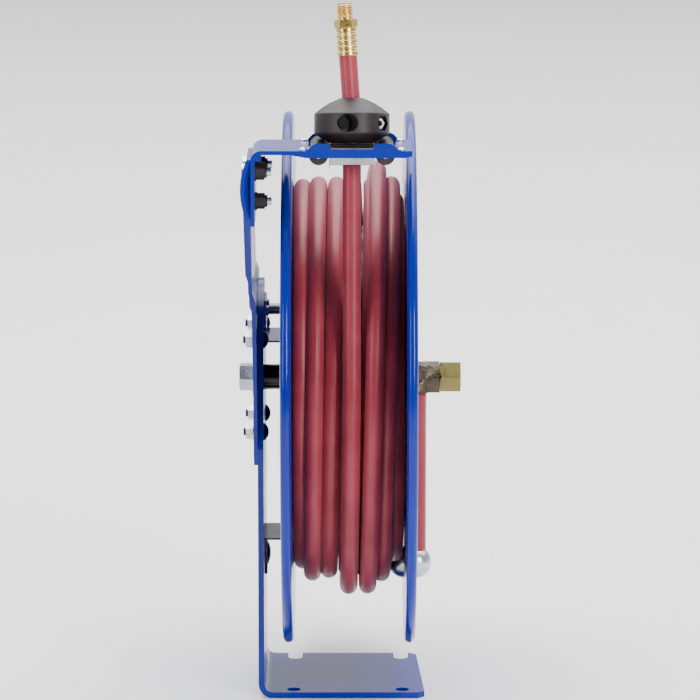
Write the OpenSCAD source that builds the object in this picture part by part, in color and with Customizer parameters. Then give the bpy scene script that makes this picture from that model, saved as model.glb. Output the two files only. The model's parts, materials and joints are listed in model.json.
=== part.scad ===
// Spring-rewind air hose reel: one-sided stand, cantilevered drum, roller hose guide.
// +X is the drum axle, pointing to the air inlet; -Y is the front; +Z is up; z = 0 is the underside of the base.

/* [Stand] */
// Thickness of the bent base and upright plate
stand_t = 4.8; // [4:0.2:6]
// Depth of the base, front to back
base_depth = 127; // [120:1:140]
// Reach of the base to the right of the origin
base_reach = 62.5; // [58:0.5:70]
// Half the distance between the base holes, left to right
hole_half = 44.45; // [40:0.05:46]
// Height of the drum axle above the floor
axle_h = 255.6; // [253:0.1:258]

/* [Drum] */
// Outer diameter of both side discs
disc_d = 436; // [430:1:440]
// Thickness of the rolled rim of a disc
rim_w = 8.4; // [7:0.1:9]
// Radius of the drum core that the hose is wound on
core_r = 124.3; // [118:0.1:126]
// Number of notches in the ratchet wheel
notches = 8; // [4:4:12]

/* [Hose] */
// Outer diameter of the hose
hose_d = 14.3; // [14:0.1:14.6]
// Bore of the hose
hose_bore = 9.5; // [9:0.1:10]
// Radius of the centreline of the lead turn round the drum
lead_r = 171.3; // [171.2:0.1:172]

/* [Guide] */
// Backward lean of the hose where it passes the guide
guide_lean = 9.18; // [8:0.01:10]
// Sideways lean of the hose end above the stopper
tip_lean = 4; // [0:0.5:6]
// Diameter of the hose stopper
stopper_d = 59; // [54:1:62]

/* [Hidden] */
$fn = 64;

fit = 0.05;                    // radial running clearance of pins and bearings
hose_r = hose_d / 2;

// Stand
plate_x = -73.2;               // outer face of the upright
bend_r = 12;                   // outer bend radius of the stand
taper_z = 208;                 // height where the upright starts to narrow
head_z = 288;                  // centre of the upright's round head
head_r = 50;
base_rear_reach = base_reach - 5;
hole_y = 54;                   // front holes and rear slots, from the centre
base_hole_d = 11.1;
slot_w = 12;
pattern = 38.1;                // half the 76.2 mm square of the arm bolts

// Guide arm and bracket, a bent strap standing forward of the axle
arm_t = 3.2;
arm_step = 2.4;                // outward joggle of the arm above the upright
bow = 5;                       // how far the arm's front edge is flared out beside the bracket
bow_r = 80;
bow_z = 436;
arm_low = 193;
arm_high = 460;
bracket_t = 3.2;
bracket_x = plate_x - 2.4;     // outer face of the bracket's leg
bracket_low = 407.6;
guide_x = 3;                   // centre of the hose guide
guide_y = -140;
guide_z = 463;
top_z = 466.9;                 // upper face of the bracket's top plate
top_half = 33;                 // half the depth of the top plate
top_right = 49.7;
lip_t = 2.5;
side_x = 25.9;                 // side rollers, from the guide centre
side_r = 7.6;
cross_y = 16.6;                // cross rollers, from the guide centre
cross_z = [461.9, 457.6];      // front and rear, square to the leaning hose
cross_r = 8.2;
cross_half = 16.9;
pin_r = 2.5;
bracket_bolt_yz = [[-161, 449], [-119, 449], [-140, 423]];

// Axle and what turns on it, along X
axle_r = 10.4;
thread_r = 7;
bush_r = 16;
inner_l = -44.4;               // inner face of the left disc
inner_r = 45.9;                // inner face of the right disc
web_t = 1.5;
disc_r = disc_d / 2;
bead_r = disc_r - rim_w / 2;
screw_r = 112;                 // circle of the screws that hold the discs to the core
wheel_x = -49.1;               // outer face of the ratchet wheel
wheel_t = 3.2;
wheel_r = 34;
pawl_yz = [24, 308];
rivet_y = [-18, 12];
rivet_z = 314;
guard_z = 107.5;               // bolt of the guard tab
pawl_swing = 3.1;              // angle of the notch that the pawl drops into

// Hose winding
full_r = 163.2;                // outside of the full layers
top_r = 175.9;                 // outside of the turn that lies on top of them
elbow_x = 51;
elbow_z = 99.3;
elbow_r = 13.2;
port_x = 37.5;
port_z = 108.3;
port_lean = 26.7;
jumper_x = 57.3;
jumper_low = 112.8;
jumper_high = 244.4;

// Lead of the hose: from under the drum round its front, then straight up through the guide.
// Angles are from straight up, turning towards the front.
lead_on = 80.8;                // where the straight run meets the drum
lead_off = 194.8;              // where the lead meets the wound hose, under the drum
lead_top = [guide_x, -139.4, 466.8];
lead_drift = 3;                // sideways drift of the lead from the front to the bottom
ring_step = 7.6;               // degrees between rings round the drum
tube_sides = 10;

// Stopper, along its own axis from the guide centre
stop_low = 5.9;
stop_low_r = 18;
stop_band = 12.2;
stop_high = 29;
stop_top = 40.6;
stop_split = 25.5;             // bearing of the front half, to the right of straight forward
tip_start = 30;                // where the hose end starts to lean
ferrule_low = 43.3;
ferrule_high = 65.6;
hex_high = 71.9;
tip_high = 84.5;

// Cylinder along +X from x0 to x1 at (y, z)
module x_cyl(x0, x1, r, y = 0, z = 0) {
    translate([x0, y, z]) rotate([0, 90, 0]) cylinder(h = x1 - x0, r = r);
}

// Cylinder along +Y from y0 to y1 at (x, z)
module y_cyl(y0, y1, r, x = 0, z = 0) {
    translate([x, y0, z]) rotate([-90, 0, 0]) cylinder(h = y1 - y0, r = r);
}

// Hexagonal bar along +X, af across its flats
module x_hex(x0, x1, af, y = 0, z = 0, turn = 0) {
    translate([x0, y, z]) rotate([turn, 0, 0]) rotate([0, 90, 0])
        cylinder(h = x1 - x0, r = af / sqrt(3), $fn = 6);
}

// Turns an outline drawn as (radius, x) about the drum axle
module on_axle() {
    translate([0, 0, axle_h]) rotate([0, 90, 0]) rotate_extrude($fn = 128) children();
}

// Extrudes an outline drawn as (x, z) along Y
module along_y(y0, y1) {
    translate([0, y1, 0]) rotate([90, 0, 0]) linear_extrude(y1 - y0) children();
}

// Extrudes an outline drawn as (y, z) along X
module along_x(x0, x1) {
    translate([x0, 0, 0]) rotate([90, 0, 90]) linear_extrude(x1 - x0) children();
}

// Frame of the hose where it passes the guide
module at_guide() {
    translate([guide_x, guide_y, guide_z]) rotate([-guide_lean, 0, 0]) children();
}

// Frame of the leaning hose end
module at_tip() {
    at_guide() translate([0, 0, tip_start]) rotate([0, -tip_lean, 0]) children();
}

// Ring with a bore along +Z
module tube(r_out, r_in, h) {
    difference() {
        cylinder(h = h, r = r_out);
        translate([0, 0, -1]) cylinder(h = h + 2, r = r_in);
    }
}

module arm_bolt_places() {
    for (y = [-pattern, pattern], z = [-pattern, pattern]) translate([0, y, axle_h + z]) children();
}

// Point where the tangent from (half, low) meets the round head
function tangent_point(half, low, r, z) =
    let (d = sqrt(half * half + (z - low) * (z - low)),
         a = atan2(z - low, -half) - asin(r / d),
         l = sqrt(d * d - r * r))
    [half + l * cos(a), low + l * sin(a)];

module upright_outline() {
    half = base_depth / 2;
    t = tangent_point(half, taper_z, head_r, head_z);
    polygon([[-half, 0], [half, 0], [half, taper_z], t, [0, head_z], [-t[0], t[1]], [-half, taper_z]]);
    translate([0, head_z]) circle(r = head_r);
}

module base_upright() color("royalblue") difference() {
    union() {
        intersection() {
            along_x(plate_x, plate_x + bend_r + 1) upright_outline();
            along_y(-base_depth, base_depth) {
                translate([plate_x, bend_r]) square([stand_t, 330]);
                difference() {
                    translate([plate_x + bend_r, bend_r]) circle(r = bend_r);
                    translate([plate_x + bend_r, bend_r]) circle(r = bend_r - stand_t);
                    translate([plate_x + bend_r, -1]) square(3 * bend_r);
                    translate([plate_x - 1, bend_r]) square(3 * bend_r);
                }
            }
        }
        linear_extrude(stand_t) polygon([[plate_x + bend_r, -base_depth / 2], [base_reach - 5, -base_depth / 2],
            [base_reach, -base_depth / 2 + 5], [base_rear_reach, base_depth / 2 - 5],
            [base_rear_reach - 5, base_depth / 2], [plate_x + bend_r, base_depth / 2]]);
    }
    for (x = [-hole_half, hole_half]) {
        translate([x, -hole_y, -1]) cylinder(h = stand_t + 2, d = base_hole_d);
        translate([x, hole_y - 4, -1]) cylinder(h = stand_t + 2, d = slot_w);
        translate([x - slot_w / 2, hole_y - 4, -1]) cube([slot_w, base_depth, stand_t + 2]);
    }
    x_cyl(plate_x - 1, plate_x + stand_t + 1, thread_r + 0.2, 0, axle_h);
    arm_bolt_places() x_cyl(plate_x - 1, plate_x + stand_t + 1, 3.3);
    for (y = rivet_y) x_cyl(plate_x - 1, plate_x + stand_t + 1, 2.6, y, rivet_z);
    x_cyl(plate_x - 1, plate_x + stand_t + 1, 3.2, 0, guard_z);
}

module arm_outline() {
    polygon([[-55, arm_low], [55, arm_low], [62, arm_low + 8], [62, 318], [-105, arm_high], [-173, arm_high],
        [-173, 413], [-75, 260], [-62, arm_low + 8]]);
}

// Cylinder lying at 45 degrees, whose side leaves the arm's face as the flared edge
module flare(inset) translate([plate_x - arm_step - arm_t - bow + inset + bow_r * sqrt(2), -173, bow_z])
    rotate([0, 0, -45]) rotate([-90, 0, 0]) cylinder(h = 400, r = bow_r, center = true, $fn = 180);

module guide_arm() color("royalblue") difference() {
    union() {
        intersection() {
            along_x(plate_x - 12, plate_x + 1) arm_outline();
            along_y(-200, 100) polygon([[plate_x, arm_low], [plate_x, 340], [plate_x - arm_step, 348],
                [plate_x - arm_step, arm_high], [plate_x - arm_step - arm_t, arm_high],
                [plate_x - arm_step - arm_t, 348], [plate_x - arm_t, 340], [plate_x - arm_t, arm_low]]);
        }
        // pressed stiffening rib that runs up the outside of the arm
        intersection() {
            along_x(plate_x - 12, plate_x - arm_t) polygon([[-22, 308], [6, 308], [-88, 406], [-112, 432],
                [-128, 432], [-128, 412]]);
            along_y(-200, 100) polygon([[plate_x - arm_t, 308], [plate_x - arm_t, 340],
                [plate_x - arm_step - arm_t, 348], [plate_x - arm_step - arm_t, 432],
                [plate_x - arm_step - arm_t - 3.8, 420], [plate_x - arm_step - arm_t - 3.8, 352],
                [plate_x - arm_t - 3.8, 342], [plate_x - arm_t - 3.8, 320]]);
        }
        // front edge flared out beside the bracket, in the sheet's own thickness
        intersection() {
            flare(0);
            along_x(plate_x - arm_step - arm_t - bow - 1, plate_x - arm_step - arm_t + 0.5) arm_outline();
        }
    }
    flare(arm_t);
    x_cyl(plate_x - 12, plate_x + 2, thread_r + 0.2, 0, axle_h);
    arm_bolt_places() x_cyl(plate_x - 12, plate_x + 2, 3.3);
    for (p = bracket_bolt_yz) x_cyl(plate_x - 12, plate_x + 2, 3.3, p[0], p[1]);
}

module arm_bolts() color("midnightblue") arm_bolt_places() {
    x_cyl(plate_x - 12, plate_x + stand_t, 3.1);
    translate([plate_x + stand_t, 0, 0]) rotate([0, 90, 0]) intersection() {
        cylinder(h = 4, r = 7.5);
        translate([0, 0, -5]) sphere(r = 9);
    }
}

module arm_nuts() color("silver") arm_bolt_places() difference() {
    union() {
        x_cyl(plate_x - arm_t - 1.2, plate_x - arm_t, 7.5);
        x_hex(plate_x - arm_t - 6.7, plate_x - arm_t - 1.2, 11.1);
    }
    x_cyl(plate_x - 12, plate_x, 3.1);
}

module bracket_section() {
    difference() {
        translate([bracket_x, bracket_low]) square([top_right - bracket_x, top_z - bracket_low]);
        translate([bracket_x + bracket_t, bracket_low - 1]) square([200, top_z - bracket_t - bracket_low - 5 + 1]);
        translate([bracket_x + bracket_t + 5, bracket_low - 1]) square([200, top_z - bracket_t - bracket_low + 1]);
        difference() {
            translate([bracket_x + bracket_t, top_z - bracket_t - 5.5]) square(5.5);
            translate([bracket_x + bracket_t + 5, top_z - bracket_t - 5]) circle(r = 5);
        }
        difference() {
            translate([bracket_x - 1, top_z - 8.2]) square(9.2);
            translate([bracket_x + 8.2, top_z - 8.2]) circle(r = 8.2);
        }
    }
    translate([bracket_x + 8.2, top_z - 8.2]) difference() {
        circle(r = 8.2);
        circle(r = 5);
        translate([0, -20]) square(40);
        translate([-20, -40]) square(40);
    }
}

module lip_outline() {
    polygon([[-45, top_z - 3.2], [-33, top_z - 5.5], [44, top_z - 5.5], [top_right, top_z - 4.3],
        [top_right, top_z], [40, top_z], [36.5, top_z + 4], [33.5, top_z + 5.6], [22.4, top_z + 5.6],
        [20.6, top_z + 4.4], [19.4, top_z + 0.9], [-13.4, top_z + 0.9], [-14.6, top_z + 4.4],
        [-16.4, top_z + 5.6], [-25.5, top_z + 5.6], [-28.5, top_z + 4], [-32, top_z], [-45, top_z]]);
}

module guide_bracket() color("royalblue") difference() {
    union() {
        difference() {
            along_y(guide_y - top_half, guide_y + top_half) bracket_section();
            translate([guide_x - 34, guide_y - top_half + lip_t, top_z - 10])
                cube([68, 2 * top_half - 2 * lip_t, 20]);
        }
        for (y = [guide_y - top_half, guide_y + top_half - lip_t]) along_y(y, y + lip_t) lip_outline();
    }
    for (p = bracket_bolt_yz) x_cyl(bracket_x - 1, bracket_x + bracket_t + 1, 3.3, p[0], p[1]);
    for (x = [-38, 38], y = [-27, 27])
        translate([guide_x + x, guide_y + y, top_z - bracket_t - 1]) cylinder(h = bracket_t + 2, r = 1.6);
}

module bracket_bolts() color("silver") for (p = bracket_bolt_yz) {
    head_x = bracket_x - arm_t;
    x_cyl(head_x, bracket_x + 15.9, 3.1, p[0], p[1]);
    x_hex(head_x - 4, head_x, 11.1, p[0], p[1]);
}

module bracket_nuts() color("dimgray") for (p = bracket_bolt_yz) {
    face = bracket_x + bracket_t;
    difference() {
        union() {
            x_cyl(face, face + 1.4, 7.2, p[0], p[1]);
            x_hex(face + 1.4, face + 7.4, 11.1, p[0], p[1]);
            x_cyl(face + 7.4, face + 9.4, 4.8, p[0], p[1]);
        }
        x_cyl(face - 1, face + 12, 3.1, p[0], p[1]);
    }
}

module guide_side_plates() color("gainsboro") difference() {
    union() {
        for (x = [-cross_half - 1, cross_half + 0.2])
            translate([guide_x + x, guide_y - top_half + lip_t, guide_z - 10.5])
                cube([0.8, 2 * top_half - 2 * lip_t, 13.6]);
        // thin walls along the lips, just taller than them
        for (y = [guide_y - top_half + lip_t, guide_y + top_half - lip_t - 0.8])
            translate([guide_x - cross_half - 1, y, guide_z - 7]) cube([2 * cross_half + 2, 0.8, 12.6]);
    }
    for (i = [0, 1]) x_cyl(guide_x - 30, guide_x + 30, pin_r, guide_y + cross_y * (2 * i - 1), cross_z[i]);
}

module guide_screws() color("gainsboro") for (x = [-38, 38], y = [-27, 27])
    translate([guide_x + x, guide_y + y, top_z]) {
        translate([0, 0, -5]) cylinder(h = 5, r = 1.6);
        intersection() {
            cylinder(h = 2.2, r = 3.1);
            translate([0, 0, -1.6]) sphere(r = 3.9);
        }
    }

module side_roller_pins() color("gainsboro") for (s = [-1, 1])
    y_cyl(guide_y - top_half + lip_t, guide_y + top_half - lip_t, pin_r, guide_x + s * side_x, guide_z);

module cross_roller_pins() color("gainsboro") for (i = [0, 1])
    x_cyl(guide_x - cross_half - 1, guide_x + cross_half + 1, pin_r, guide_y + cross_y * (2 * i - 1), cross_z[i]);

module side_roller(side) color([0.13, 0.12, 0.13]) difference() {
    y_cyl(guide_y - top_half + lip_t + 0.6, guide_y + top_half - lip_t - 0.6, side_r, guide_x + side * side_x, guide_z);
    y_cyl(guide_y - 40, guide_y + 40, pin_r + fit, guide_x + side * side_x, guide_z);
}

module side_roller_left() side_roller(-1);

module side_roller_right() side_roller(1);

module cross_roller(y, z) color([0.13, 0.12, 0.13]) difference() {
    x_cyl(guide_x - cross_half, guide_x + cross_half, cross_r, y, z);
    x_cyl(guide_x - 30, guide_x + 30, pin_r + fit, y, z);
}

module cross_roller_front() cross_roller(guide_y - cross_y, cross_z[0]);

module cross_roller_rear() cross_roller(guide_y + cross_y, cross_z[1]);

module axle() color([0.07, 0.06, 0.08]) on_axle() polygon([[0, -89], [thread_r - 1, -89],
    [thread_r, -88], [thread_r, plate_x + stand_t], [axle_r, plate_x + stand_t], [axle_r, 35], [9.2, 35],
    [9.2, 36.6], [axle_r, 36.6], [axle_r, 38], [0, 38]]);

module axle_nut() color("silver") difference() {
    intersection() {
        x_hex(-89.2, -78.4, 20.6, 0, axle_h, 30);
        on_axle() polygon([[0, -89.2], [10.4, -89.2], [12.2, -88.1], [12.2, -78.4], [0, -78.4]]);
    }
    x_cyl(-95, -70, thread_r, 0, axle_h);
}

module axle_washer() color("silver") on_axle() translate([thread_r, -78.4]) square([8.5, 2]);

module axle_clip() color("dimgray") on_axle() translate([9.2, 35]) square([4.6, 1.6]);

module spring_arbor() color("dimgray") on_axle() translate([axle_r, -34]) square([6, 24]);

module pawl_bracket() color("royalblue") {
    face = plate_x + stand_t;
    difference() {
        union() {
            along_x(face, face + 1.8) polygon([[-30, 289.6], [30, 289.6], [30, 316], [24, 322], [-16, 322], [-30, 304]]);
            translate([face, -30, 289.6]) cube([14.2, 60, 1.6]);
        }
        for (y = rivet_y) x_cyl(face - 1, face + 3, 2.5, y, rivet_z);
        x_cyl(face - 1, face + 3, 3, pawl_yz[0], pawl_yz[1]);
    }
    for (y = rivet_y) {
        x_cyl(plate_x, face + 1.8, 2.5, y, rivet_z);
        x_cyl(face + 1.8, face + 3.8, 4.2, y, rivet_z);
    }
}

module pawl_pivot() color("gainsboro") {
    x_cyl(plate_x + stand_t, -46.3, 3, pawl_yz[0], pawl_yz[1]);
}

module pawl_spring() color("dimgray") translate([-66.6, pawl_yz[0], pawl_yz[1]]) rotate([0, 90, 0]) tube(4.6, 3, 15);

module pawl() color("gray") difference() {
    along_x(wheel_x - 0.3, wheel_x + 2.5) {
        polygon([[28, 302], [30, 313], [20, 316], [-6, 305], [-7, 298], [-4.6, 291.2], [0.2, 291.2], [1.5, 296],
            [8, 298.5]]);
        translate(pawl_yz) circle(r = 7.6);
    }
    x_cyl(-60, -40, 3 + fit, pawl_yz[0], pawl_yz[1]);
}

module guard_tab() color([0.05, 0.08, 0.3]) difference() {
    face = plate_x + stand_t;
    union() {
        along_x(face, face + 1.8) polygon([[-20, 100], [-12, 92], [12, 92], [20, 100], [28, 126], [-28, 126]]);
        translate([face, -28, 124.4]) cube([14, 56, 1.6]);
    }
    x_cyl(face - 1, face + 3, 3.2, 0, guard_z);
}

module guard_tab_bolt() color([0.05, 0.08, 0.3]) {
    face = plate_x + stand_t + 1.8;
    x_cyl(plate_x, face, 3.2, 0, guard_z);
    translate([face, 0, guard_z]) rotate([0, 90, 0]) intersection() {
        cylinder(h = 2.7, r = 10.3);
        translate([0, 0, -19]) sphere(r = 21.7);
    }
}

// Side disc as (radius, x): flat web and a rim rolled outwards; side is -1 for the left disc
module disc_outline(side, face, hub) {
    web = side > 0 ? face : face - web_t;
    centre = face + side * rim_w / 2;
    translate([hub, web]) square([bead_r - hub, web_t]);
    translate([bead_r, centre]) difference() {
        circle(r = rim_w / 2, $fn = 48);
        circle(r = rim_w / 2 - web_t, $fn = 48);
        translate([-10, side > 0 ? 0 : -10]) square([10, 10]);
    }
}

module screw_holes() {
    for (i = [0:3]) turned(45 + 90 * i) x_cyl(inner_l - 10, inner_r + 10, 2.1, 0, axle_h + screw_r);
}

module left_disc() color("royalblue") difference() {
    on_axle() disc_outline(-1, inner_l, 19);
    screw_holes();
}

module right_disc() color("royalblue") difference() {
    on_axle() disc_outline(1, inner_r, 8);
    screw_holes();
    x_cyl(inner_r - 5, inner_r + 5, elbow_r, 0, elbow_z);
}

module drum_core() color("royalblue") difference() {
    on_axle() {
        translate([core_r - 1.5, inner_l]) square([1.5, inner_r - inner_l]);
        translate([screw_r - 7.5, inner_l]) square([core_r - screw_r + 7, web_t]);
        translate([screw_r - 7.5, inner_r - web_t]) square([core_r - screw_r + 7, web_t]);
    }
    screw_holes();
}

module left_hub() color("dimgray") on_axle() {
    translate([bush_r, -52]) square([3, 52 + inner_l + 8]);
    translate([bush_r, inner_l]) square([26, 2.2]);
}

module right_hub() color("dimgray") on_axle() {
    translate([bush_r, 18]) square([4, inner_r - 18]);
    translate([0, inner_r - 2.2]) square([42, 2.2]);
    translate([0, inner_r - 2.2]) square([8, 57 - inner_r + 2.2]);
}

module left_bearing() color("darkgoldenrod") on_axle() translate([axle_r + fit, -52]) square([bush_r - axle_r - fit, 14]);

module right_bearing() color("darkgoldenrod") on_axle() translate([axle_r + fit, 20]) square([bush_r - axle_r - fit, 14.4]);

module spring_case() color("dimgray") on_axle() {
    translate([102.5, inner_l]) square([1.5, 40]);
    translate([22, inner_l + 40]) square([82, 1.5]);
}

// Flat spring as one spiral strip
module main_spring() color("slategray") {
    turns = 7;
    steps = 24;
    inside = 18;
    strip = 0.9;
    pitch = (102.5 - inside - strip) / turns;
    outline = [for (i = [0:turns * steps]) let (a = i * 360 / steps, r = inside + pitch * i / steps)
        [r * cos(a), r * sin(a)]];
    back = [for (i = [turns * steps:-1:0]) let (a = i * 360 / steps, r = inside + strip + pitch * i / steps)
        [r * cos(a), r * sin(a)]];
    translate([0, 0, axle_h]) along_x(-35, -11) polygon(concat(outline, back));
}

module ratchet_wheel() color("gray") translate([0, 0, axle_h]) along_x(wheel_x, wheel_x + wheel_t) difference() {
    circle(r = wheel_r);
    circle(r = 19);
    for (i = [0:notches - 1]) rotate(pawl_swing * -1 + i * 360 / notches) translate([-5.5, 28]) square([11, 10]);
}

module disc_screws() color("silver") for (i = [0:3]) turned(45 + 90 * i) {
    x_cyl(inner_l - web_t, inner_l + 5, 2.1, 0, axle_h + screw_r);
    x_cyl(inner_l - web_t - 2.4, inner_l - web_t, 4.2, 0, axle_h + screw_r);
    x_cyl(inner_r - 5, inner_r + web_t, 2.1, 0, axle_h + screw_r);
    x_cyl(inner_r + web_t, inner_r + web_t + 2.4, 4.2, 0, axle_h + screw_r);
}

module turned(a) {
    translate([0, 0, axle_h]) rotate([a, 0, 0]) translate([0, 0, -axle_h]) children();
}

// Straight run out of the elbow's inner port, from a to b along it
module port_path(a, b, r) {
    translate([port_x, 0, port_z]) rotate([90 - port_lean, 0, 0]) translate([0, 0, a]) cylinder(h = b - a, r = r);
}

module hose_winding() color([0.62, 0.2, 0.26]) difference() {
    on_axle() polygon([[core_r, inner_l], [full_r, inner_l], [full_r, 10.5], [top_r, 10.5], [top_r, 31.8],
        [full_r, 31.8], [full_r, 42.5], [151, 42.5], [151, inner_r], [core_r, inner_r]]);
    x_cyl(28, 60, elbow_r + 0.8, 0, elbow_z);
    port_path(-4, 60, 9.4);
}

module riser_elbow() color("silver") {
    ends = [elbow_x - 18 + elbow_r, elbow_x + 18 - elbow_r];
    difference() {
        union() {
            x_cyl(ends[0], ends[1], elbow_r, 0, elbow_z);
            for (x = ends) translate([x, 0, elbow_z]) sphere(r = elbow_r);
            port_path(4, 16, 7.2);
        }
        translate([jumper_x, 0, jumper_low - 6]) cylinder(h = 20, r = hose_r);
    }
}

module inner_ferrule() color("goldenrod") port_path(16, 31, 7.9);

module jumper_hose() color([0.66, 0.24, 0.3]) translate([jumper_x, 0, jumper_low - 6]) difference() {
    cylinder(h = jumper_high - jumper_low + 6, r = hose_r);
    translate([0, 0, jumper_high - jumper_low + 6 - 18]) cylinder(h = 20, r = hose_bore / 2);
}

module swivel_body() color("darkgoldenrod") difference() {
    union() {
        translate([51, -11, axle_h - 11.2]) cube([24.2, 20, 22.4]);
        y_cyl(-14, -11, 11.2, 62.6, axle_h);
        translate([jumper_x, 0, jumper_high - 18]) cylinder(h = 20, r = hose_bore / 2);
    }
    x_cyl(50, 57, 8, 0, axle_h);
    x_cyl(59, 80, 8 + fit, 0, axle_h);
}

module inlet_nut() color("goldenrod") difference() {
    union() {
        intersection() {
            x_hex(75.6, 92.4, 23.8, 0, axle_h, 21);
            on_axle() polygon([[0, 75.6], [12.2, 75.6], [13.6, 76.6], [13.6, 91.4], [12.2, 92.4], [0, 92.4]]);
        }
        on_axle() polygon([[0, 60], [8, 60], [8, 63], [6.2, 63], [6.2, 64.8], [8, 64.8], [8, 69], [6.2, 69],
            [6.2, 70.8], [8, 70.8], [8, 75.6], [0, 75.6]]);
    }
    x_cyl(79, 93, 7.35, 0, axle_h);
    x_cyl(59, 80, 4, 0, axle_h);
}

module inlet_seals() color([0.1, 0.1, 0.1]) for (x = [63.9, 69.9])
    on_axle() translate([7.1, x]) circle(r = 0.88, $fn = 24);

// Centreline of the lead: straight run down from the guide, then round the drum
function arc_point(a) = [guide_x - lead_drift * min(1, (a - lead_on) / 99), -lead_r * sin(a), axle_h + lead_r * cos(a)];
lead_path = concat(
    [lead_top, [guide_x, guide_y, guide_z], [guide_x, -147, 420], [guide_x, -155, 371], [guide_x, -164, 315]],
    [for (a = [lead_on:ring_step:lead_off]) arc_point(a)]);

function unit(v) = v / norm(v);
function heading(p, i) = unit(p[min(i + 1, len(p) - 1)] - p[max(i - 1, 0)]);
function ring(p, i, r) =
    let (d = heading(p, i), side = unit(cross(d, [1, 0, 0])), up = cross(side, d))
    [for (k = [0:tube_sides - 1]) let (a = k * 360 / tube_sides) p[i] + r * (cos(a) * side + sin(a) * up)];

module swept_tube(p, r) {
    n = len(p);
    points = [for (i = [0:n - 1]) each ring(p, i, r)];
    walls = [for (i = [0:n - 2], k = [0:tube_sides - 1]) let (j = (k + 1) % tube_sides, s = tube_sides)
        [i * s + k, i * s + j, (i + 1) * s + j, (i + 1) * s + k]];
    ends = [[for (k = [tube_sides - 1:-1:0]) k], [for (k = [0:tube_sides - 1]) (n - 1) * tube_sides + k]];
    polyhedron(points = points, faces = concat(walls, ends), convexity = 4);
}

module hose_lead() color([0.66, 0.24, 0.3]) swept_tube(lead_path, hose_r);

// Centreline of the hose end above the guide
end_path = [[0, 0, 4.6], [0, 0, tip_start],
    [-ferrule_high * sin(tip_lean), 0, tip_start + ferrule_high * cos(tip_lean)]];

module hose_end() color([0.66, 0.24, 0.3]) at_guide() swept_tube(end_path, hose_r);

// Body of the stopper as (radius, height) with the hose's bore
module stopper_body() {
    r = stopper_d / 2;
    difference() {
        at_guide() rotate_extrude($fn = 96) polygon([[hose_r, stop_low], [stop_low_r, stop_low], [r - 0.6, stop_band],
            [r, stop_band + 1], [r, stop_high - 0.8], [r - 0.8, stop_high], [r - 6, stop_high + 4],
            [r - 12, stop_high + 7.8], [r - 20.5, stop_top], [hose_r, stop_top]]);
        at_guide() cylinder(h = tip_start, r = hose_r);
        at_tip() cylinder(h = 20, r = hose_r);
        at_guide() translate([0, 0, tip_start]) sphere(r = hose_r);
    }
}

// Stopper's bolts lie along its split direction; s is -1 or 1
module at_stopper_bolt(s) {
    at_guide() rotate([0, 0, stop_split]) translate([s * 15, 0, 20.6]) rotate([90, 0, 0]) children();
}

// Half space on one side of the split, which stays slightly open
module front_space(side) {
    at_guide() rotate([0, 0, stop_split]) translate([-50, side > 0 ? -50.25 : 0.25, 0]) cube([100, 50, 60]);
}

module stopper_holes() {
    for (s = [-1, 1]) {
        at_stopper_bolt(s) translate([0, 0, -40]) cylinder(h = 80, r = 2.6);
        at_stopper_bolt(s) mirror([0, 0, s < 0 ? 0 : 1]) {
            translate([0, 0, 14]) cylinder(h = 30, r = 7);
            translate([0, 0, -44]) cylinder(h = 30, r = 6.3, $fn = 6);
        }
    }
}

module stopper_front() color([0.16, 0.15, 0.16]) difference() {
    intersection() {
        stopper_body();
        front_space(1);
    }
    stopper_holes();
}

module stopper_rear() color([0.16, 0.15, 0.16]) difference() {
    intersection() {
        stopper_body();
        front_space(-1);
    }
    stopper_holes();
}

module stopper_bolts() color("silver") for (s = [-1, 1]) at_stopper_bolt(s) mirror([0, 0, s < 0 ? 0 : 1]) {
    translate([0, 0, -18]) cylinder(h = 32, r = 2.5);
    translate([0, 0, 14]) cylinder(h = 3.4, r = 4.6);
}

module stopper_nuts() color("silver") for (s = [-1, 1]) at_stopper_bolt(s) mirror([0, 0, s < 0 ? 0 : 1])
    translate([0, 0, -18]) difference() {
        cylinder(h = 4, r = 4.6, $fn = 6);
        translate([0, 0, -1]) cylinder(h = 6, r = 2.5);
    }

module end_ferrule() color("gold") at_tip() translate([0, 0, ferrule_low]) tube(7.9, hose_r, ferrule_high - ferrule_low);

module end_fitting() color("goldenrod") at_tip() difference() {
    union() {
        translate([0, 0, ferrule_high]) cylinder(h = hex_high - ferrule_high, r = 15.9 / sqrt(3), $fn = 6);
        translate([0, 0, hex_high]) cylinder(h = tip_high - hex_high, r = 6.86);
    }
    translate([0, 0, ferrule_high - 1]) cylinder(h = 30, r = 4);
}

base_upright();
guide_arm();
arm_bolts();
arm_nuts();
guide_bracket();
bracket_bolts();
bracket_nuts();
guide_side_plates();
guide_screws();
side_roller_pins();
cross_roller_pins();
side_roller_left();
side_roller_right();
cross_roller_front();
cross_roller_rear();
axle();
axle_nut();
axle_washer();
axle_clip();
spring_arbor();
pawl_bracket();
pawl_pivot();
pawl_spring();
pawl();
guard_tab();
guard_tab_bolt();
left_disc();
right_disc();
drum_core();
left_hub();
right_hub();
left_bearing();
right_bearing();
spring_case();
main_spring();
ratchet_wheel();
disc_screws();
hose_winding();
riser_elbow();
inner_ferrule();
jumper_hose();
swivel_body();
inlet_nut();
inlet_seals();
hose_lead();
hose_end();
stopper_front();
stopper_rear();
stopper_bolts();
stopper_nuts();
end_ferrule();
end_fitting();
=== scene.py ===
"""Visual model of a spring-rewind air hose reel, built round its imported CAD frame.

Metres, +Z up, -Y front. Sizes given in mm are named so or are multiplied by MM.
"""
import json
import math

import bpy
from mathutils import Matrix, Vector


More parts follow.
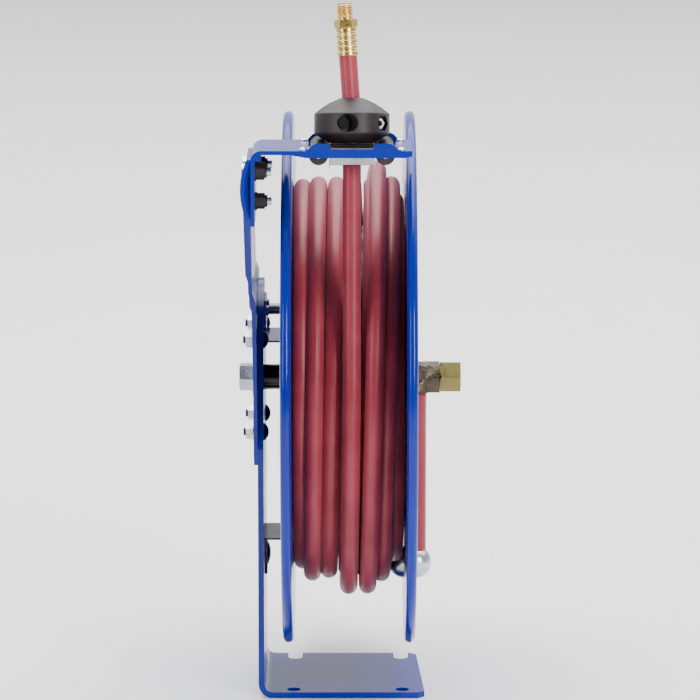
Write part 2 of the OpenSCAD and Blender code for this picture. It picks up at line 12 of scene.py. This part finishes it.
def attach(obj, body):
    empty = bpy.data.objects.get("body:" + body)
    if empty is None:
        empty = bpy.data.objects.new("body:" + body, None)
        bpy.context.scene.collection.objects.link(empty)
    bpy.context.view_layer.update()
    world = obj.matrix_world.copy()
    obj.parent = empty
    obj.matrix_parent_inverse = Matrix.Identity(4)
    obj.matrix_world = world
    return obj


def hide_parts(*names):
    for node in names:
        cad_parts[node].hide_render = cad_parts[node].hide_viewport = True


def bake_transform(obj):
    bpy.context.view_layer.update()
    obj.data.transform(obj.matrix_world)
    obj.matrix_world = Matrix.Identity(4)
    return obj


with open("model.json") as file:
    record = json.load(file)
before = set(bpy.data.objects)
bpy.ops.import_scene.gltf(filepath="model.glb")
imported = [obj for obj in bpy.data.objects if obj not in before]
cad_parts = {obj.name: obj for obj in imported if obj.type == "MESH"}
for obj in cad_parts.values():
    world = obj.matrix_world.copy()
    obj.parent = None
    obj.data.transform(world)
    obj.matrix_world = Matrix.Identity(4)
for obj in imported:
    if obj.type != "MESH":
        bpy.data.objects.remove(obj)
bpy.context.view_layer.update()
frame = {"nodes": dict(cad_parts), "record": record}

# ---------------------------------------------------------------- sizes, as in the CAD
MM = 0.001
AXLE = Vector((0.0, 0.0, 255.6)) * MM
HOSE_R = 7.15 * MM
LEAD_R = 171.3
LEAD_ON, LEAD_OFF = 80.8, 194.8
GUIDE = Vector((3.0, -140.0, 463.0)) * MM
GUIDE_LEAN, TIP_LEAN = math.radians(9.18), math.radians(4.0)
TIP_START = 30.0
FERRULE_LOW, FERRULE_HIGH, HEX_HIGH, TIP_HIGH = 43.3, 65.6, 71.9, 84.5
PORT = Vector((37.5, 0.0, 108.3))
PORT_LEAN = 26.7
JUMPER_X, JUMPER_LOW, JUMPER_HIGH = 57.3, 106.8, 244.4

AT_GUIDE = Matrix.Translation(GUIDE) @ Matrix.Rotation(-GUIDE_LEAN, 4, "X")
AT_TIP = AT_GUIDE @ Matrix.Translation((0, 0, TIP_START * MM)) @ Matrix.Rotation(-TIP_LEAN, 4, "Y")


def round_drum(angle, radius, x):
    """A point on the winding: angle in degrees from straight up, turning to the front; radius and x in mm."""
    a = math.radians(angle)
    return Vector((x * MM, -radius * math.sin(a) * MM, AXLE.z + radius * math.cos(a) * MM))


# ---------------------------------------------------------------- camera
CAMERA_AT, CAMERA_AIM, LENS_MM = (0.0, -3.42, 0.923), Vector((0.0016, 0.0, 0.2779)), 218.0


def make_camera():
    data = bpy.data.cameras.new("camera")
    cam = bpy.data.objects.new("camera", data)
    bpy.context.scene.collection.objects.link(cam)
    cam.location = CAMERA_AT
    cam.rotation_mode = "QUATERNION"
    cam.rotation_quaternion = (CAMERA_AIM - cam.location).to_track_quat("-Z", "Y")
    data.lens = LENS_MM
    data.sensor_width = 36.0
    data.clip_start, data.clip_end = 0.1, 60.0
    bpy.context.scene.camera = cam


make_camera()


# ---------------------------------------------------------------- materials
class Look:
    """A node material with short calls for the nodes it needs."""

    def __init__(self, name, metallic=0.0):
        self.mat = bpy.data.materials.new(name)
        self.mat.use_nodes = True
        self.nodes = self.mat.node_tree.nodes
        self.links = self.mat.node_tree.links
        self.shader = self.nodes["Principled BSDF"]
        self.shader.inputs["Metallic"].default_value = metallic
        self.place = self.nodes.new("ShaderNodeTexCoord").outputs["Object"]

    def noise(self, scale, detail=3.0):
        node = self.nodes.new("ShaderNodeTexNoise")
        node.inputs["Scale"].default_value = scale
        node.inputs["Detail"].default_value = detail
        self.links.new(self.place, node.inputs["Vector"])
        return node.outputs["Fac"]

    def ramp(self, fac, *stops):
        """Colour ramp; each stop is (position, grey or colour)."""
        node = self.nodes.new("ShaderNodeValToRGB")
        points = node.color_ramp.elements
        while len(points) < len(stops):
            points.new(0.5)
        for point, (position, value) in zip(points, stops):
            point.position = position
            point.color = (*value, 1) if isinstance(value, tuple) else (value, value, value, 1)
        self.links.new(fac, node.inputs["Fac"])
        return node.outputs["Color"]

    def math(self, operation, a, b=0.0, c=None):
        node = self.nodes.new("ShaderNodeMath")
        node.operation = operation
        for socket, value in zip(node.inputs, (a, b) if c is None else (a, b, c)):
            if isinstance(value, (int, float)):
                socket.default_value = value
            else:
                self.links.new(value, socket)
        return node.outputs["Value"]

    def mix(self, fac, a, b, blend="MIX"):
        node = self.nodes.new("ShaderNodeMix")
        node.data_type = "RGBA"
        node.blend_type = blend
        sockets = [s for s in node.inputs if s.type == "RGBA"]
        for socket, value in ((node.inputs["Factor"], fac), (sockets[0], a), (sockets[1], b)):
            if isinstance(value, (int, float)):
                socket.default_value = value
            elif isinstance(value, tuple):
                socket.default_value = (*value, 1)
            else:
                self.links.new(value, socket)
        return next(s for s in node.outputs if s.type == "RGBA")

    def bump(self, height, strength, distance):
        node = self.nodes.new("ShaderNodeBump")
        node.inputs["Strength"].default_value = strength
        node.inputs["Distance"].default_value = distance
        self.links.new(height, node.inputs["Height"])
        previous = self.shader.inputs["Normal"].links
        if previous:
            self.links.new(previous[0].from_socket, node.inputs["Normal"])
        self.links.new(node.outputs["Normal"], self.shader.inputs["Normal"])

    def set(self, **sockets):
        """Constant values, by socket name with _ for a space."""
        for name, value in sockets.items():
            self.shader.inputs[name.replace("_", " ")].default_value = value

    def feed(self, name, output):
        self.links.new(output, self.shader.inputs[name])


def painted(name, deep, bright, rough):
    look = Look(name)
    look.feed("Base Color", look.ramp(look.noise(9.0), (0.3, deep), (0.7, bright)))
    look.feed("Roughness", look.ramp(look.noise(35.0), (0.3, rough), (0.7, rough + 0.07)))
    look.bump(look.noise(700.0, 1.5), 0.05, 0.0001)
    look.set(IOR=1.45, Specular_IOR_Level=0.38)
    return look.mat


LATHE_PITCH = 0.0005


def plated(name, dark, light, rough, grain=260.0, turned_about=None):
    """Bare or plated metal; turned_about is the (x, z) centre of a lathe cut's fine rings."""
    look = Look(name, metallic=1.0)
    patches = look.ramp(look.noise(70.0, 5.0), (0.3, dark), (0.7, light))
    specks = look.ramp(look.noise(grain * 4, 2.0), (0.35, 0.82), (0.6, 1.0))
    look.feed("Base Color", look.mix(1.0, patches, specks, "MULTIPLY"))
    look.feed("Roughness", look.ramp(look.noise(grain), (0.3, rough), (0.7, rough + 0.16)))
    look.bump(look.noise(grain * 3, 2.0), 0.12, 0.0001)
    if turned_about:
        split = look.nodes.new("ShaderNodeSeparateXYZ")
        look.links.new(look.place, split.inputs["Vector"])
        across = look.math("SUBTRACT", split.outputs["X"], turned_about[0])
        up = look.math("SUBTRACT", split.outputs["Z"], turned_about[1])
        squares = look.math("ADD", look.math("POWER", across, 2.0), look.math("POWER", up, 2.0))
        rings = look.math("MULTIPLY", look.math("SQRT", squares), 2 * math.pi / LATHE_PITCH)
        look.bump(look.math("SINE", rings), 0.55, 0.0001)
    return look.mat


def moulded(name, dark, light, rough):
    look = Look(name)
    look.feed("Base Color", look.ramp(look.noise(60.0), (0.3, dark), (0.7, light)))
    look.feed("Roughness", look.ramp(look.noise(120.0), (0.3, rough), (0.7, rough + 0.12)))
    look.bump(look.noise(1600.0, 2.0), 0.2, 0.0001)
    look.set(IOR=1.45, Specular_IOR_Level=0.35)
    return look.mat


def hose_rubber(name):
    """Braid printed through a thin rubber cover: crossed spirals in the hose's (round, along) coordinates."""
    look = Look(name)
    uv = look.nodes.new("ShaderNodeUVMap")
    uv.uv_map = "along"
    split = look.nodes.new("ShaderNodeSeparateXYZ")
    look.links.new(uv.outputs["UV"], split.inputs["Vector"])
    turns = look.math("MULTIPLY", split.outputs["X"], 14.0)
    run = look.math("MULTIPLY", split.outputs["Y"], 14.0 / 0.045)
    strands = []
    for operation in ("ADD", "SUBTRACT"):
        phase = look.math("MULTIPLY", look.math(operation, turns, run), 2 * math.pi)
        strands.append(look.math("SINE", phase))
    braid = look.math("MULTIPLY", strands[0], strands[1])
    grain = look.noise(900.0, 3.0)
    blotch = look.ramp(look.noise(26.0, 4.0), (0.3, (0.30, 0.022, 0.040)), (0.72, (0.42, 0.046, 0.072)))
    print_through = look.ramp(look.math("MULTIPLY_ADD", braid, 0.5, 0.5), (0.15, 0.80), (0.85, 1.0))
    specks = look.ramp(grain, (0.35, 0.86), (0.62, 1.0))
    colour = look.mix(1.0, look.mix(1.0, blotch, print_through, "MULTIPLY"), specks, "MULTIPLY")
    look.feed("Base Color", colour)
    look.feed("Roughness", look.ramp(grain, (0.3, 0.30), (0.7, 0.46)))
    look.bump(braid, 0.22, 0.0002)
    look.bump(grain, 0.10, 0.0001)
    look.set(IOR=1.45, Specular_IOR_Level=0.42, Sheen_Weight=0.10, Sheen_Roughness=0.5)
    return look.mat


LOOKS = {
    "blue_paint": painted("blue_paint", (0.0, 0.009, 0.235), (0.0, 0.016, 0.30), 0.14),
    "dark_blue_paint": painted("dark_blue_paint", (0.004, 0.008, 0.050), (0.006, 0.012, 0.075), 0.26),
    "black_steel": painted("black_steel", (0.006, 0.006, 0.008), (0.012, 0.012, 0.014), 0.14),
    "zinc": plated("zinc", (0.52, 0.55, 0.60), (0.72, 0.74, 0.77), 0.24),
    "spring_steel": plated("spring_steel", (0.16, 0.17, 0.19), (0.30, 0.31, 0.33), 0.34),
    "brass": plated("brass", (0.64, 0.43, 0.12), (0.83, 0.61, 0.21), 0.24),
    "bronze": plated("bronze", (0.34, 0.22, 0.10), (0.48, 0.32, 0.16), 0.36),
    "black_plastic": moulded("black_plastic", (0.020, 0.014, 0.016), (0.034, 0.026, 0.029), 0.38),
    "hose_rubber": hose_rubber("hose_rubber"),
    "seal_rubber": moulded("seal_rubber", (0.012, 0.012, 0.012), (0.024, 0.024, 0.024), 0.5),
    "old_brass": plated("old_brass", (0.22, 0.175, 0.060), (0.33, 0.27, 0.10), 0.24),
    "turned_brass": plated("turned_brass", (0.085, 0.070, 0.045), (0.165, 0.135, 0.085), 0.20,
                           turned_about=(0.0626, AXLE.z)),
}
SLOT_OF = {part["node"]: part["material_slot"] for part in frame["record"]["subparts"]}


def wear(obj, look):
    obj.data.materials.clear()
    obj.data.materials.append(LOOKS[look])


for node, obj in frame["nodes"].items():
    wear(obj, SLOT_OF[node])
wear(frame["nodes"]["swivel_body"], "turned_brass")
wear(frame["nodes"]["inlet_nut"], "old_brass")


# ---------------------------------------------------------------- mesh tools
def mesh_object(name, points, faces, uvs=None, smooth=True):
    mesh = bpy.data.meshes.new(name)
    mesh.from_pydata([tuple(p) for p in points], [], faces)
    if uvs:
        layer = mesh.uv_layers.new(name="along")
        for polygon in mesh.polygons:
            for loop, uv in zip(polygon.loop_indices, uvs[polygon.index]):
                layer.data[loop].uv = uv
    mesh.polygons.foreach_set("use_smooth", [smooth] * len(mesh.polygons))
    mesh.validate()
    obj = bpy.data.objects.new(name, mesh)
    bpy.context.scene.collection.objects.link(obj)
    return obj


def sweep(name, path, radius, sides=20):
    """Round tube along path, with capped ends, and (round, metres along) as its UV map."""
    points, faces, uvs = [], [], []
    run = 0.0
    side = None
    runs = []
    for i, centre in enumerate(path):
        heading = (path[min(i + 1, len(path) - 1)] - path[max(i - 1, 0)]).normalized()
        if side is None:
            side = heading.cross(Vector((1, 0, 0))).normalized()
        side = (side - heading * side.dot(heading)).normalized()
        up = heading.cross(side)
        run += (centre - path[i - 1]).length if i else 0.0
        runs.append(run)
        for k in range(sides):
            a = 2 * math.pi * k / sides
            points.append(centre + radius * (math.cos(a) * side + math.sin(a) * up))
    for i in range(len(path) - 1):
        for k in range(sides):
            j = (k + 1) % sides
            faces.append((i * sides + k, i * sides + j, (i + 1) * sides + j, (i + 1) * sides + k))
            u0, u1 = k / sides, (k + 1) / sides
            uvs.append(((u0, runs[i]), (u1, runs[i]), (u1, runs[i + 1]), (u0, runs[i + 1])))
    last = (len(path) - 1) * sides
    for ring in (list(range(sides - 1, -1, -1)), [last + k for k in range(sides)]):
        faces.append(tuple(ring))
        uvs.append(tuple((0.0, 0.0) for _ in ring))
    return mesh_object(name, points, faces, uvs)


RING_POINTS = 72


def rings_object(name, rings, place, sharp):
    """Skin over rings of equal point count, each (x, y, z) in mm in the frame of place; the last joins the first."""
    count = len(rings[0])
    points = [place @ (Vector(p) * MM) for ring in rings for p in ring]
    faces = []
    for i in range(len(rings)):
        j = (i + 1) % len(rings)
        for k in range(count):
            m = (k + 1) % count
            faces.append((i * count + k, i * count + m, j * count + m, j * count + k))
    obj = mesh_object(name, points, faces)
    obj.data.set_sharp_from_angle(angle=math.radians(sharp))
    return obj


def circle_ring(radius, z):
    return [(radius * math.cos(2 * math.pi * k / RING_POINTS), radius * math.sin(2 * math.pi * k / RING_POINTS), z)
            for k in range(RING_POINTS)]


def lathe(name, outline, place, sharp):
    """Turned piece: outline is (radius, height) in mm."""
    return rings_object(name, [circle_ring(r, z) for r, z in outline], place, sharp)


# ---------------------------------------------------------------- the hose
# Half turns of the wound hose from the port outwards: where it is, in mm, at the bottom and top of the drum.
HALF_TURNS = [
    (38.0, 131.5), (20.0, 131.5), (22.0, 131.5), (2.0, 131.5), (4.0, 131.5), (-16.0, 131.5), (-14.0, 131.5),
    (-34.0, 132.5), (-36.5, 143.9), (-18.0, 144.3), (-16.0, 144.3), (1.0, 144.3), (3.0, 144.3), (20.0, 144.3),
    (21.0, 144.3), (37.4, 144.5), (38.4, 145.0), (-37.0, 150.4), (-37.0, 155.5), (-29.5, 160.5), (-24.0, 157.6),
    (-15.6, 158.2), (-9.6, 157.4), (-1.0, 156.9), (4.4, 157.0), (13.0, 157.2), (19.4, 157.0), (27.4, 161.0),
    (35.4, 157.6), (15.6, 171.0), (24.4, 170.2),
]
STEPS = 26  # rings in each half turn
PORT_R = 131.6  # where the hose lands on the core after the port
DRIFT, DRIFT_RATE = 0.45, 0.61  # sideways wander of a turn, so that no two lie the same


def smooth(t):
    return t * t * (3 - 2 * t)


def wound_path():
    lean = math.radians(PORT_LEAN)
    heading = Vector((0, -math.cos(lean), math.sin(lean)))
    path = [(PORT + heading * s) * MM for s in range(26, 65, 4)]
    angle, x, radius = 180.0 - PORT_LEAN, PORT.x, PORT_R
    stops = [(0.0, *HALF_TURNS[0])]
    for i, (next_x, next_radius) in enumerate(HALF_TURNS[1:]):
        stops.append((-180.0 * (i + 1), next_x, next_radius))
    stops.append((stops[-1][0] + LEAD_OFF - 360.0, 0.0, LEAD_R))
    for next_angle, next_x, next_radius in stops:
        steps = max(4, round(STEPS * (angle - next_angle) / 180.0))
        for k in range(steps):
            t = k / steps
            a = angle + (next_angle - angle) * t
            drift = DRIFT * math.sin(math.radians(a * DRIFT_RATE)) * (1 - abs(x) / 60)
            across = x + (next_x - x) * smooth(t) + drift
            path.append(round_drum(a, radius + (next_radius - radius) * smooth(t), across))
        angle, x, radius = next_angle, next_x, next_radius
    path.append(round_drum(angle, radius, x))
    return path


def lead_path():
    path = []
    count = 46
    for k in range(count):
        angle = LEAD_OFF + (LEAD_ON - LEAD_OFF) * k / count
        x = GUIDE.x / MM - 3.0 * min(1.0, (angle - LEAD_ON) / 99.0)
        path.append(round_drum(angle, LEAD_R, x))
    start = round_drum(LEAD_ON, LEAD_R, GUIDE.x / MM)
    for k in range(16):
        path.append(start.lerp(GUIDE, k / 16))
    for w in [*range(0, 8), *range(10, 28, 2)]:
        path.append(AT_GUIDE @ Vector((0, 0, w * MM)))
    bend = 5.0
    for k in range(5):
        t = k / 4
        low = AT_GUIDE @ Vector((0, 0, (TIP_START - bend * (1 - t)) * MM))
        high = AT_TIP @ Vector((0, 0, bend * t * MM))
        path.append(low.lerp(high, t))
    for t in range(8, 48, 3):
        path.append(AT_TIP @ Vector((0, 0, t * MM)))
    return path


wound = wound_path()
hose_wound = sweep("hose_wound", wound, HOSE_R, sides=18)
wear(hose_wound, "hose_rubber")
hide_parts("hose_winding")
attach(hose_wound, "drum")

lead = lead_path()
hose_free = sweep("hose_free", lead, HOSE_R, sides=24)
wear(hose_free, "hose_rubber")
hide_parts("hose_lead", "hose_end")


# ---------------------------------------------------------------- what is on the hose
def crimped_ferrule():
    low, high, out, bore = FERRULE_LOW, FERRULE_HIGH, 7.9, 7.16
    outline = [(bore, low), (out - 0.35, low), (out, low + 0.4)]
    for i in range(4):
        z = low + 3.2 + 4.4 * i
        outline += [(out, z), (out - 0.62, z + 0.7), (out - 0.62, z + 2.0), (out, z + 2.7)]
    outline += [(out, high - 0.9), (out - 0.5, high), (bore - 3.0, high), (bore - 3.0, high - 1.0),
                (bore, high - 2.0)]
    obj = lathe("crimped_ferrule", outline, AT_TIP, sharp=25)
    wear(obj, "brass")
    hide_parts("end_ferrule")
    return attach(obj, "hose_end")


def hex_ring(flats, z, drop):
    """Ring round a hexagon; points beyond the flats move by drop, the slope of the chamfer."""
    ring = []
    for k in range(RING_POINTS):
        a = 2 * math.pi * k / RING_POINTS
        r = flats / 2 / math.cos((a % (math.pi / 3)) - math.pi / 6)
        ring.append((r * math.cos(a), r * math.sin(a), z + drop * max(0.0, r - flats / 2)))
    return ring


def threaded_fitting():
    flats, bore = 15.9, 4.0
    pitch, tooth, taper = 1.411, 0.75, 32.0
    chamfer = 0.6
    rings = [circle_ring(bore, FERRULE_HIGH), circle_ring(flats / 2, FERRULE_HIGH),
             hex_ring(flats, FERRULE_HIGH, chamfer),
             hex_ring(flats, HEX_HIGH, -chamfer), circle_ring(flats / 2, HEX_HIGH),
             circle_ring(6.2, HEX_HIGH), circle_ring(6.05, HEX_HIGH + 0.9)]
    low, high = HEX_HIGH + 1.2, TIP_HIGH - 0.7
    rows = 96
    for i in range(rows + 1):
        z = low + (high - low) * i / rows
        crest = 6.86 - (z - low) / taper
        fade = min(1.0, (z - low) / 1.6, (high - z) / 1.2)
        ring = []
        for k in range(RING_POINTS):
            a = 2 * math.pi * k / RING_POINTS
            wave = abs(((z / pitch - k / RING_POINTS) % 1.0) * 2 - 1)
            r = crest - tooth * (1 - wave * max(0.0, fade))
            ring.append((r * math.cos(a), r * math.sin(a), z))
        rings.append(ring)
    rings += [circle_ring(5.6, TIP_HIGH - 0.1), circle_ring(5.3, TIP_HIGH), circle_ring(bore + 0.3, TIP_HIGH),
              circle_ring(bore, TIP_HIGH - 0.4)]
    obj = rings_object("threaded_fitting", rings, AT_TIP, sharp=28)
    wear(obj, "brass")
    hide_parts("end_fitting")
    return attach(obj, "hose_end")


ferrule = crimped_ferrule()
fitting = threaded_fitting()

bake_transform(hose_free)


# ---------------------------------------------------------------- jumper hose down the right disc
def jumper():
    heights = [JUMPER_LOW + (JUMPER_HIGH - JUMPER_LOW) * k / 30 for k in range(31)]
    obj = sweep("jumper", [Vector((JUMPER_X, 0, z)) * MM for z in heights], HOSE_R, sides=28)
    wear(obj, "hose_rubber")
    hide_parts("jumper_hose")
    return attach(obj, "drum")


jumper()


# ---------------------------------------------------------------- studio
def make_floor():
    look = Look("floor")
    look.feed("Base Color", look.ramp(look.noise(3.0), (0.3, 0.90), (0.7, 0.93)))
    look.feed("Roughness", look.ramp(look.noise(40.0), (0.3, 0.6), (0.7, 0.7)))
    look.bump(look.noise(300.0), 0.05, 0.0001)
    size, cells = 16.0, 8
    points, faces = [], []
    for j in range(cells + 1):
        for i in range(cells + 1):
            points.append(((i / cells - 0.5) * size, (j / cells - 0.5) * size, -0.0002))
    for j in range(cells):
        for i in range(cells):
            k = j * (cells + 1) + i
            faces.append((k, k + 1, k + cells + 2, k + cells + 1))
    floor = mesh_object("floor", points, faces, smooth=False)
    floor.data.materials.append(look.mat)


def area_light(name, place, aim, size, power):
    data = bpy.data.lights.new(name, "AREA")
    data.shape = "RECTANGLE"
    data.size, data.size_y = size
    data.energy = power
    light = bpy.data.objects.new(name, data)
    bpy.context.scene.collection.objects.link(light)
    light.location = place
    light.rotation_mode = "QUATERNION"
    light.rotation_quaternion = (Vector(aim) - Vector(place)).to_track_quat("-Z", "Y")


def make_studio():
    world = bpy.data.worlds.new("studio")
    bpy.context.scene.world = world
    world.use_nodes = True
    nodes, links = world.node_tree.nodes, world.node_tree.links
    direction = nodes.new("ShaderNodeTexCoord").outputs["Generated"]
    split = nodes.new("ShaderNodeSeparateXYZ")
    links.new(direction, split.inputs["Vector"])
    depth = nodes.new("ShaderNodeMapRange")
    links.new(split.outputs["Y"], depth.inputs["Value"])
    depth.inputs["From Min"].default_value, depth.inputs["From Max"].default_value = -0.7, 0.8
    depth.inputs["To Min"].default_value, depth.inputs["To Max"].default_value = 0.08, 1.10
    links.new(depth.outputs["Result"], nodes["Background"].inputs["Strength"])
    nodes["Background"].inputs["Color"].default_value = (1.0, 1.0, 1.0, 1)
    area_light("key", (1.7, -2.6, 1.5), (0, 0, 0.28), (0.9, 1.5), 78)
    area_light("fill", (-2.2, -2.0, 1.2), (0, 0, 0.25), (0.7, 1.5), 30)
    area_light("top", (0.0, 0.3, 2.6), (0, 0, 0.3), (2.0, 2.0), 60)
    area_light("backdrop", (0.0, 2.3, 3.0), (0, 2.3, 0), (7.0, 5.0), 330)


make_floor()
make_studio()
